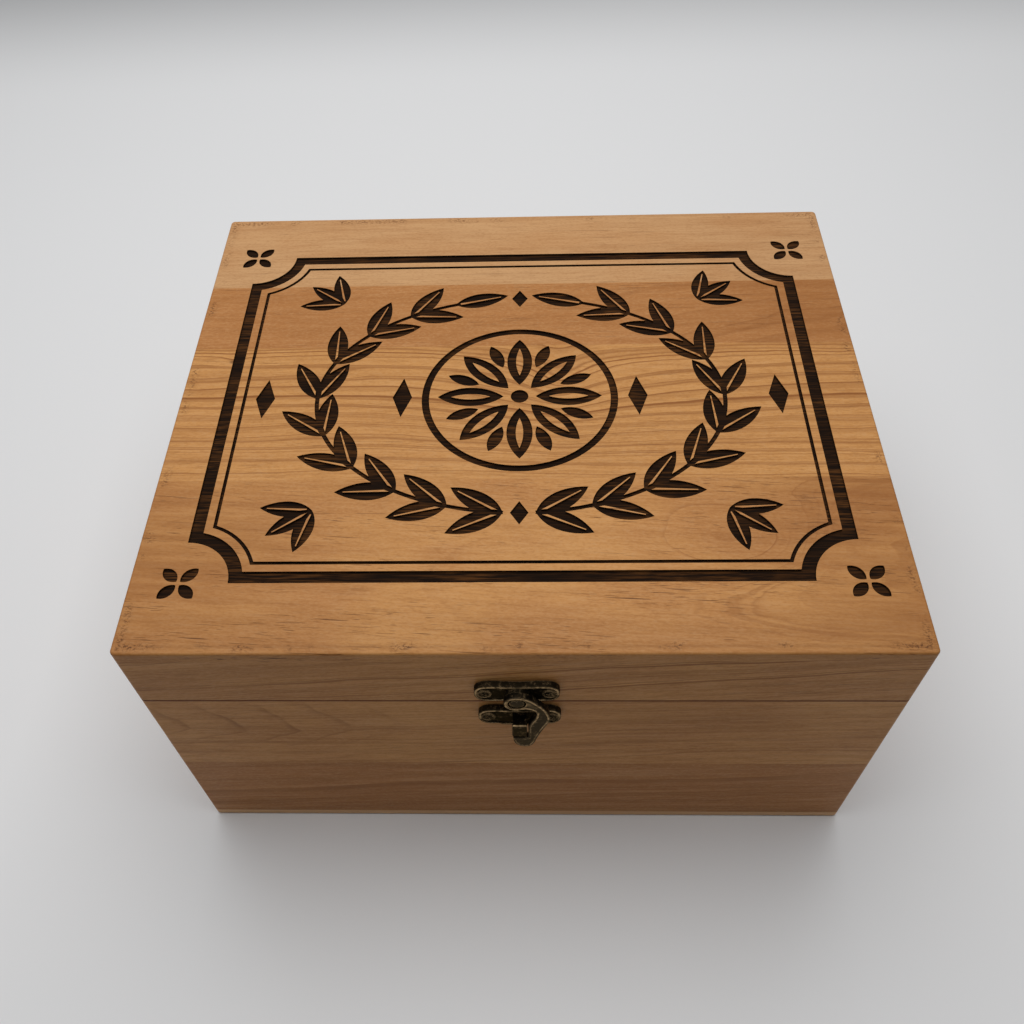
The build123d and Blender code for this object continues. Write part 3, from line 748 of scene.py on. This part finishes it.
def turned(centre, rings):
    """A piece turned about a line along Y: its rings are (radius, way in front of centre) in millimetres."""
    rings = [(radius * MM, front * MM) for radius, front in rings]
    radius, front = rings[0]
    start = centre + Vector((0.0, -front, 0.0))
    select_only()
    bpy.ops.mesh.primitive_circle_add(
        vertices=ROUND_SIDES, radius=radius, location=start, rotation=(pi / 2, 0.0, 0.0))
    apply_place()
    bpy.ops.object.mode_set(mode="EDIT")
    select_whole()
    for (last_radius, last_front), (radius, front) in zip(rings, rings[1:]):
        pull((0.0, last_front - front, 0.0))
        share = radius / last_radius
        middle = centre + Vector((0.0, -front, 0.0))
        bpy.ops.transform.resize(value=(share, share, share), center_override=middle)
    if rings[0] == rings[-1]:
        select_whole()
        bpy.ops.mesh.remove_doubles(threshold=0.005 * MM)
    else:
        choose("EDGE", lambda edge: edge.is_boundary)
        bpy.ops.mesh.edge_face_add()
    turn_faces_out()
    return leave_edit()


def cut_away(piece, tool):
    """Takes the tool's shape out of a piece, and then the tool away."""
    select_only(piece)
    cutter = piece.modifiers.new("cut", "BOOLEAN")
    cutter.operation = "DIFFERENCE"
    cutter.object = tool
    cutter.solver = "EXACT"
    bpy.ops.object.modifier_apply(modifier="cut")
    bpy.data.objects.remove(tool)


def joined(pieces):
    """Several objects as one."""
    select_only(*pieces)
    bpy.ops.object.join()
    return bpy.context.object


def finish_piece(piece, name, body, nodes, material, angle=38.0):
    """Names, smooths and paints a piece, ties it to its body, and hides the CAD nodes that it stands for."""
    select_only(piece)
    bpy.ops.object.shade_smooth_by_angle(angle=radians(angle))
    piece.name = name
    piece.data.materials.clear()
    piece.data.materials.append(material)
    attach(piece, body)
    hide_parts(*nodes)


# Latch plates, with a boss on one and a peg on the other

PLATE_THICKNESS = 2.6 * MM
PLATE_HALF_HEIGHT = 5.4 * MM
PLATE_SCREW_SPACING = 23.4 * MM

# How far each way the dips in the long edges reach, and the apron under the catch plate's peg, and its depth
DIP_REACH = 6.5 * MM
APRON_REACH = 7.5 * MM
APRON = 0.9 * MM

# Turned forms: radius, and how far in front of the walls, in millimetres
COLLAR = ((2.12, 1.6), (2.12, 2.45), (2.25, 2.6), (2.62, 2.6), (2.8, 2.42), (2.95, 1.6), (2.12, 1.6))
BOSS = ((0.05, 1.6), (4.3, 1.6), (4.3, 3.7), (4.05, 4.1), (3.7, 4.2), (0.05, 4.2))

# The peg's square neck and wider head: width and height
PEG_NECK = (5.0 * MM, 7.6 * MM)
PEG_HEAD = (5.6 * MM, 8.6 * MM)
PEG_ROOT = FRONT - 2.0 * MM
PEG_SHOULDER = FRONT - 6.9 * MM
PEG_HEAD_THICKNESS = 1.5 * MM


def plate_middle(node):
    """The middle of a latch plate's straight part, on the front of the walls."""
    low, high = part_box(node)
    return Vector(((low.x + high.x) / 2, FRONT, high.z - PLATE_HALF_HEIGHT))


def plate_screw_places(node, front):
    """Where a latch plate's two screws stand, this far in front of the walls."""
    return [plate_middle(node) + Vector((side * PLATE_SCREW_SPACING / 2, -front, 0.0)) for side in (-1, 1)]


def cast_plate(node, sizes, apron):
    """A latch plate with round ends, shallow dips, a rounded front edge and a sunk field inside its rim."""
    low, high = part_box(node)
    middle = plate_middle(node)
    front = FRONT - PLATE_THICKNESS
    bottom = middle.z - PLATE_HALF_HEIGHT
    add_block(Vector((low.x, front, bottom)), Vector((high.x, FRONT, high.z)))
    choose("EDGE", lambda edge: abs((edge.verts[0].co - edge.verts[1].co).normalized().y) > 0.99)
    round_off(sizes.corner, 9)
    reaches = [DIP_REACH * step / 5 for step in range(-5, 6)]
    if apron:
        reaches += [-APRON_REACH, APRON_REACH]
    cut([middle + Vector((reach, 0.0, 0.0)) for reach in reaches], (1.0, 0.0, 0.0))

    def dipped(point):
        share = abs(point.x - middle.x) / DIP_REACH
        dip = sizes.dip * (1.0 - share * share)
        at_foot = point.z < bottom + 0.2 * MM
        if share < 0.999 and point.z > high.z - 0.2 * MM:
            point.z -= dip
        elif share < 0.999 and at_foot:
            point.z += -apron if apron else dip
        elif share < 1.01 and at_foot:
            point.z -= apron * 0.75
        return point

    move_points(dipped)
    choose("EDGE", front_outline)
    round_off(sizes.edge)
    choose("FACE", is_front_face)
    bpy.ops.mesh.inset(thickness=sizes.rim, depth=0.0)
    bpy.ops.mesh.inset(thickness=0.2 * MM, depth=-sizes.sunk)
    plate = leave_edit()

    def rubbed(point):
        behind = point.y - front
        if abs(behind - sizes.sunk) < 0.03 * MM:
            return 0.0
        rim = between(point.z, middle.z - 4.0 * MM, middle.z + 2.0 * MM, 0.72, 1.0)
        return between(behind, sizes.edge, 0.02 * MM, 0.34, rim)

    mark_rubbed(plate, rubbed)
    return plate


def turned_rubbed(centre, rings, low, high, worn):
    """A turned piece, rubbed more and more from low to high, in millimetres in front of the walls."""
    piece = turned(centre, rings)
    mark_rubbed(piece, lambda point: between(FRONT - point.y, low * MM, high * MM, 0.1, worn))
    return piece


def model_collar(place):
    """The raised ring round a screw's head."""
    return turned_rubbed(place, COLLAR, 2.3, 2.6, 0.74)


def model_boss():
    """The round boss of the lid plate, which the hook's eye lies on."""
    return turned_rubbed(HOOK_AXIS, BOSS, 3.6, 4.1, 0.7)


def model_peg():
    """The peg of the catch plate: a square neck and a wider head with soft edges."""
    middle = plate_middle("latch_catch_plate")
    width, height = PEG_NECK
    head_width, head_height = PEG_HEAD
    low = Vector((middle.x - width / 2, PEG_SHOULDER, middle.z - height / 2))
    high = Vector((middle.x + width / 2, PEG_ROOT, middle.z + height / 2))
    add_block(low, high)
    choose("FACE", faces_front)
    bpy.ops.mesh.extrude_region_move()
    widened = (head_width / width, 1.0, head_height / height)
    bpy.ops.transform.resize(value=widened, center_override=(middle.x, PEG_SHOULDER, middle.z))
    push((0.0, -PEG_HEAD_THICKNESS, 0.0))

    def on_head(edge):
        """A sharp edge of the head, and not one where it meets the neck."""
        ends = [vertex.co for vertex in edge.verts]
        if any(end.y > PEG_SHOULDER + 0.01 * MM for end in ends) or edge.calc_face_angle() < 0.5:
            return False
        return any(end.y < PEG_SHOULDER - MM or abs(end.x - middle.x) > 2.7 * MM for end in ends)

    choose("EDGE", on_head)
    round_off(0.6 * MM)
    peg = leave_edit()

    # The neck and the back of the head are made black: partly patina, partly painted shade under the head
    def rubbed(point):
        behind = point.y - (PEG_SHOULDER - PEG_HEAD_THICKNESS)
        if behind < 0.05 * MM:
            return 0.7
        top = between(point.z, middle.z + 2.0 * MM, middle.z + 4.0 * MM, 0.7, 0.92)
        return between(behind, 1.2 * MM, 0.5 * MM, 0.0, top)

    mark_rubbed(peg, rubbed)
    return peg


# Hook

HOOK_BACK = FRONT - 4.3 * MM
HOOK_THICKNESS = 2.4 * MM
HOOK_FACE = HOOK_BACK - HOOK_THICKNESS

# How far under the pivot the crank starts and ends, and how far forward it brings the hook
CRANK_START = 6.0 * MM
CRANK_END = 25.0 * MM
CRANK_STEP = 2.2 * MM

# The sunk ring round the rivet and the hole for it: radius, and how far in front of the walls, in millimetres
EYE_POCKET = ((3.4, 6.0), (3.4, 8.0))
EYE_BORE = ((1.55, 3.0), (1.55, 9.0))

# The outline about the pivot in millimetres, seen from the front: round the eye, down the inner edge, under
# the peg to the toe's one sharp corner, and up the outer edge
EYE_RADIUS = 4.7
INNER_EDGE = [
    (3.9, -4.0), (5.6, -4.9), (6.75, -6.6), (6.85, -8.7), (6.2, -10.9), (4.9, -13.2), (4.05, -15.6),
    (3.95, -19.0), (3.95, -21.6), (3.8, -22.45)]
UNDER_PEG = [(3.4, -22.74), (0.9, -22.97)]
TOE_CORNER = (-1.6, -22.93)
OUTER_EDGE = [
    (-1.5, -25.0), (-0.6, -27.6), (1.9, -29.5), (4.3, -29.2), (6.0, -26.9), (7.0, -23.3), (8.25, -19.7),
    (9.75, -16.3), (11.1, -13.6), (11.8, -10.9), (11.2, -7.5), (9.5, -3.4), (7.0, 0.1), (4.6, 2.9)]


def hook_outline():
    """The points that the hook's outline runs through, in millimetres about the pivot."""
    turns = [radians(angle) for angle in range(66, 307, 40)]
    eye = [(EYE_RADIUS * cos(turn), EYE_RADIUS * sin(turn)) for turn in turns]
    return eye + INNER_EDGE + UNDER_PEG + [TOE_CORNER] + OUTER_EDGE


def cranked(point):
    """How far forward the hook's crank has brought it at this height."""
    share = between(PIVOT.z - point.z, CRANK_START, CRANK_END, 0.0, 1.0)
    return CRANK_STEP * share * share * (3.0 - 2.0 * share)


def add_hook_blank():
    """The hook's outline as a curve, filled and thickened, left in edit mode."""
    select_only()
    bpy.ops.curve.primitive_bezier_circle_add(location=(0.0, 0.0, 0.0))
    curve = bpy.context.object.data
    curve.dimensions = "3D"
    curve.resolution_u = 6
    outline = hook_outline()
    points = curve.splines[0].bezier_points
    points.add(len(outline) - len(points))
    for point, (x, z) in zip(points, outline):
        point.co = (PIVOT.x + x * MM, HOOK_BACK, PIVOT.z + z * MM)
        bend = "VECTOR" if (x, z) == TOE_CORNER else "AUTO"
        point.handle_left_type = bend
        point.handle_right_type = bend
    bpy.ops.object.convert(target="MESH")
    bpy.ops.object.mode_set(mode="EDIT")
    select_whole()
    bpy.ops.mesh.remove_doubles(threshold=0.01 * MM)
    select_whole()
    bpy.ops.mesh.edge_face_add()
    push((0.0, -HOOK_THICKNESS, 0.0))
    turn_faces_out()


def model_hook(sizes):
    """The hook: a blank that is rimmed and cranked forward, with the eye sunk round the rivet."""
    add_hook_blank()
    choose("EDGE", front_outline)
    round_off(0.5 * MM)
    choose("FACE", is_front_face)
    bpy.ops.mesh.inset(thickness=sizes.hook_rim, depth=0.0, use_even_offset=False)
    bpy.ops.mesh.inset(thickness=0.18 * MM, depth=-sizes.hook_sunk, use_even_offset=False)
    cut([Vector((0.0, 0.0, PIVOT.z - drop * MM)) for drop in range(6, 27)], (0.0, 0.0, 1.0))

    def forward(point):
        point.y -= cranked(point)
        return point

    move_points(forward)
    hook = leave_edit()
    for rings in (EYE_POCKET, EYE_BORE):
        cut_away(hook, turned(HOOK_AXIS, rings))

    def rubbed(point):
        behind = point.y + cranked(point) - HOOK_FACE
        from_pivot = ((point.x - PIVOT.x) ** 2 + (point.z - PIVOT.z) ** 2) ** 0.5
        if from_pivot < 3.5 * MM:
            return 0.9 if behind < 0.4 * MM else 0.0
        if abs(behind - sizes.hook_sunk) < 0.02 * MM:
            return 0.68
        rim = between(PIVOT.z - point.z, 9.0 * MM, 17.0 * MM, 1.0, 0.74)
        return between(behind, 0.5 * MM, 0.02 * MM, 0.1, rim)

    mark_rubbed(hook, rubbed)
    return hook


# Screws

# Heights of a screw's parts under its head's edge, in millimetres
SCREW_EDGE = 0.25
SCREW_CONE = 0.75
SCREW_TIP = 1.5

LEAF_THICKNESS = 1.2 * MM
HINGE_SCREW_SPACING = 18.0 * MM
HINGE_SCREW_RISE = 8.8 * MM


def model_screw(sizes):
    """One cross-head screw at the origin, looking up, its head's edge at z 0."""
    radius = sizes.head
    select_only()
    bpy.ops.mesh.primitive_circle_add(vertices=ROUND_SIDES, radius=radius, fill_type="NGON")
    bpy.ops.object.mode_set(mode="EDIT")
    half, reach = sizes.slot_width / 2, sizes.slot / 2
    lines = [half, half + 0.3 * MM, reach - 0.35 * MM, reach, reach + 0.35 * MM]
    for normal in ((1.0, 0.0, 0.0), (0.0, 1.0, 0.0)):
        cut([Vector(normal) * side * line for line in lines for side in (-1, 1)], normal)

    def domed(point):
        share = min(1.0, (point.x ** 2 + point.y ** 2) / radius ** 2)
        point.z = sizes.dome * (1.0 - share)
        return point

    def in_slot(face):
        place = face.calc_center_median()
        across, along = sorted((abs(place.x), abs(place.y)))
        return across < half and along < reach

    move_points(domed)
    choose("FACE", in_slot)
    bpy.ops.mesh.inset(thickness=0.05 * MM, depth=-0.04 * MM)
    push((0.0, 0.0, -sizes.slot_depth))
    bpy.ops.transform.resize(value=(0.8, 0.8, 1.0), center_override=(0.0, 0.0, 0.0))
    choose("EDGE", lambda edge: edge.is_boundary)
    shank = sizes.length / MM - SCREW_EDGE - SCREW_CONE - SCREW_TIP
    for drop, share in ((SCREW_EDGE, 1.0), (SCREW_CONE, 0.52), (0.0, 0.94), (shank, 1.0), (SCREW_TIP, 0.2)):
        pull((0.0, 0.0, -drop * MM))
        bpy.ops.transform.resize(value=(share, share, 1.0), center_override=(0.0, 0.0, 0.0))
    bpy.ops.mesh.edge_face_add()
    turn_faces_out()
    return leave_edit()


def set_screws(pattern, places, turns, backwards):
    """Copies of the screw at these places, each turned by its own angle, as one object."""
    copies = []
    for place, turn in zip(places, turns):
        copy = bpy.data.objects.new("screw", pattern.data.copy())
        bpy.context.collection.objects.link(copy)
        select_only(copy)
        copy.rotation_euler = (radians(-90.0 if backwards else 90.0), radians(turn), 0.0)
        copy.location = place
        apply_place()
        copies.append(copy)
    return joined(copies)


def hinge_screw_places(height):
    """Where one row of the hinges' screws stands, left to right, at this height."""
    places = []
    for leaf in ("hinge_left_lid_leaf", "hinge_right_lid_leaf"):
        low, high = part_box(leaf)
        for side in (-1, 1):
            x = (low.x + high.x) / 2 + side * HINGE_SCREW_SPACING / 2
            places.append(Vector((x, BACK + LEAF_THICKNESS, height)))
    return places


# Stage

# The photograph's camera: place in metres, turn in degrees, lens and sensor in millimetres
CAMERA_PLACE = (0.0046, -0.28683, 0.43958)
CAMERA_TURN = (36.966, 1.907, 1.004)
CAMERA_LENS = 35.079
CAMERA_SENSOR = 36.0
CAMERA_SHIFT = (0.0170, 0.0133)

FLOOR_SIZE = 6.0
KEY_PLACE = (-0.06, 0.26, 1.2)
KEY_SIZE = (1.35, 1.3)
KEY_COLOUR = (1.0, 0.99, 0.975)
SKY_COLOUR = (0.93, 0.97, 1.0)
WHITE = (1.0, 1.0, 1.0)


def seen_rays(start):
    """1 for what is seen straight, mirrored or through something, and 0 for light that falls on things."""
    straight, mirrored, through = [start.node("ShaderNodeLightPath", output=output) for output in (0, 3, 6)]
    return straight.higher_of(mirrored).higher_of(through)


def add_floor(look):
    """The paper that the box stands on, which turns into the pale backdrop further out, with painted shade
    that darkens it far behind the box and more to the left.
    """
    select_only()
    bpy.ops.mesh.primitive_plane_add(size=FLOOR_SIZE, location=(0.0, 0.0, 0.0))
    floor = bpy.context.object
    floor.name = "floor"
    material, inputs, start = new_material("paper")
    x, y, _ = start.node("ShaderNodeTexCoord", output=3).split()
    # Painted shade: the paper darkens towards the far colour behind the box, a little more on the left
    feed(inputs, "Base Color", (y - x * 0.03).smooth(0.5, 0.82).mix(opaque(look.floor), opaque(look.far)))
    inputs["Roughness"].default_value = 0.7
    inputs["Specular IOR Level"].default_value = 0.2
    outwards = ((x * x + y * y) ** 0.5).smooth(0.8, 1.5)
    cover(outwards * seen_rays(start), start.node("ShaderNodeEmission", None, {"Strength": look.backdrop}))
    floor.data.materials.append(material)


def add_light(look):
    """One wide soft light above and behind the box, and an even sky."""
    bpy.ops.object.light_add(type="AREA", location=KEY_PLACE)
    key = bpy.context.object
    key.name = "key_light"
    key.data.shape = "RECTANGLE"
    key.data.size, key.data.size_y = KEY_SIZE
    key.data.energy = look.key
    key.data.color = KEY_COLOUR
    world = bpy.data.worlds.new("studio")
    world.use_nodes = True
    sky = world.node_tree.nodes["Background"].inputs
    seen = seen_rays(Wire(world.node_tree))
    feed(sky, "Color", seen.mix(opaque(SKY_COLOUR), opaque(WHITE)))
    feed(sky, "Strength", seen.smooth(0.0, 1.0, look.fill, look.backdrop))
    bpy.context.scene.world = world


def add_camera():
    """The camera, where the photograph was taken from."""
    bpy.ops.object.camera_add(location=CAMERA_PLACE, rotation=[radians(turn) for turn in CAMERA_TURN])
    camera = bpy.context.object
    camera.name = "photo_camera"
    camera.data.lens = CAMERA_LENS
    camera.data.sensor_width = CAMERA_SENSOR
    camera.data.shift_x, camera.data.shift_y = CAMERA_SHIFT
    bpy.context.scene.camera = camera


# Operators

class GIFTBOX_OT_boards(bpy.types.Operator):
    """Finish every board with its own wood"""

    bl_idname = "giftbox.boards"
    bl_label = "Finish boards"

    def execute(self, context):
        look = context.scene.giftbox_wood
        for node, board in BOARDS.items():
            material = wood_material(node, {**USUAL_BOARD, **board}, look)
            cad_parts[node].material_slots[0].material = material
        return {"FINISHED"}


class GIFTBOX_OT_metalwork(bpy.types.Operator):
    """Finish the rivet, the hinges and their pins in antique bronze"""

    bl_idname = "giftbox.metalwork"
    bl_label = "Finish metalwork"

    def execute(self, context):
        look = context.scene.giftbox_bronze
        bronze = bronze_material("bronze_hinge", look, seed=4.0)
        handled = bronze_material("bronze_rivet", look, "hook", worn_share=0.7, seed=5.0)
        for node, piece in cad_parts.items():
            if node not in BOARDS:
                piece.material_slots[0].material = handled if node == "latch_rivet" else bronze
        return {"FINISHED"}


class GIFTBOX_OT_latch_plates(bpy.types.Operator):
    """Model the latch's two cast plates, with the boss on one and the peg on the other"""

    bl_idname = "giftbox.latch_plates"
    bl_label = "Model latch plates"

    def execute(self, context):
        bronze = bronze_material("bronze_plate", context.scene.giftbox_bronze, marked=True, seed=1.0)
        for name, node, body, apron, model_middle in (
                ("latch_plate_cast", "latch_lid_plate", "lid", 0.0, model_boss),
                ("catch_plate_cast", "latch_catch_plate", "base", APRON, model_peg)):
            parts = [cast_plate(node, context.scene.giftbox_latch, apron)]
            parts += [model_collar(place) for place in plate_screw_places(node, 0.0)]
            parts.append(model_middle())
            finish_piece(joined(parts), name, body, [node], bronze)
        return {"FINISHED"}


class GIFTBOX_OT_hook(bpy.types.Operator):
    """Model the latch's swinging hook"""

    bl_idname = "giftbox.hook"
    bl_label = "Model hook"

    def execute(self, context):
        bronze = bronze_material("bronze_hook", context.scene.giftbox_bronze, "hook", marked=True, seed=2.0)
        hook = model_hook(context.scene.giftbox_latch)
        finish_piece(hook, "latch_hook_cast", "hook", ["latch_hook"], bronze)
        return {"FINISHED"}


class GIFTBOX_OT_screws(bpy.types.Operator):
    """Model one cross-head screw and copy it to the latch and the hinges"""

    bl_idname = "giftbox.screws"
    bl_label = "Model screws"

    def execute(self, context):
        look = context.scene.giftbox_bronze
        bronze = bronze_material("bronze_screw", look, "deep", worn_share=0.4, seed=3.0)
        pattern = model_screw(context.scene.giftbox_screws)
        lid_latch = plate_screw_places("latch_lid_plate", PLATE_THICKNESS)
        catch = plate_screw_places("latch_catch_plate", PLATE_THICKNESS)
        lid_hinges = hinge_screw_places(SEAM + HINGE_SCREW_RISE)
        base_hinges = hinge_screw_places(SEAM - HINGE_SCREW_RISE)
        for node, body, places, turns, backwards in (
                ("latch_lid_screws", "lid", lid_latch, (38.0, 12.0), False),
                ("latch_catch_screws", "base", catch, (64.0, 30.0), False),
                ("hinge_lid_screws", "lid", lid_hinges, (20.0, 75.0, 48.0, 5.0), True),
                ("hinge_base_screws", "base", base_hinges, (61.0, 33.0, 8.0, 80.0), True)):
            screws = set_screws(pattern, places, turns, backwards)
            finish_piece(screws, node.replace("screws", "cross_head_screws"), body, [node], bronze, 50.0)
        bpy.data.objects.remove(pattern)
        return {"FINISHED"}


class GIFTBOX_OT_stage(bpy.types.Operator):
    """Add the floor, the soft light and the camera"""

    bl_idname = "giftbox.stage"
    bl_label = "Set the stage"

    def execute(self, context):
        look = context.scene.giftbox_stage
        add_floor(look)
        add_light(look)
        add_camera()
        context.scene.view_settings.view_transform = "Standard"
        return {"FINISHED"}


class GIFTBOX_PT_panel(bpy.types.Panel):
    """Steps that finish the gift box"""

    bl_idname = "GIFTBOX_PT_panel"
    bl_label = "Gift Box"
    bl_space_type = "VIEW_3D"
    bl_region_type = "UI"
    bl_category = "Gift Box"

    def draw(self, context):
        for step in STEPS:
            self.layout.operator(step.bl_idname)


STEPS = (
    GIFTBOX_OT_boards, GIFTBOX_OT_metalwork, GIFTBOX_OT_latch_plates, GIFTBOX_OT_hook, GIFTBOX_OT_screws,
    GIFTBOX_OT_stage)
SETTINGS = {
    "giftbox_wood": BoxWoodSettings,
    "giftbox_bronze": BoxBronzeSettings,
    "giftbox_latch": BoxLatchSettings,
    "giftbox_screws": BoxScrewSettings,
    "giftbox_stage": BoxStageSettings,
}
CLASSES = (*SETTINGS.values(), *STEPS, GIFTBOX_PT_panel)


def register():
    """Makes the settings, the operators and the panel known to Blender."""
    for known in CLASSES:
        bpy.utils.register_class(known)
    for name, group in SETTINGS.items():
        setattr(bpy.types.Scene, name, bpy.props.PointerProperty(type=group))


def unregister():
    """Takes them away again."""
    for name in SETTINGS:
        delattr(bpy.types.Scene, name)
    for known in reversed(CLASSES):
        bpy.utils.unregister_class(known)


def main():
    """Runs every step in order."""
    register()
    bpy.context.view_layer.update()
    bpy.ops.giftbox.boards()
    bpy.ops.giftbox.metalwork()
    bpy.ops.giftbox.latch_plates()
    bpy.ops.giftbox.hook()
    bpy.ops.giftbox.screws()
    bpy.ops.giftbox.stage()
    bpy.context.view_layer.update()


if __name__ == "__main__":
    main()
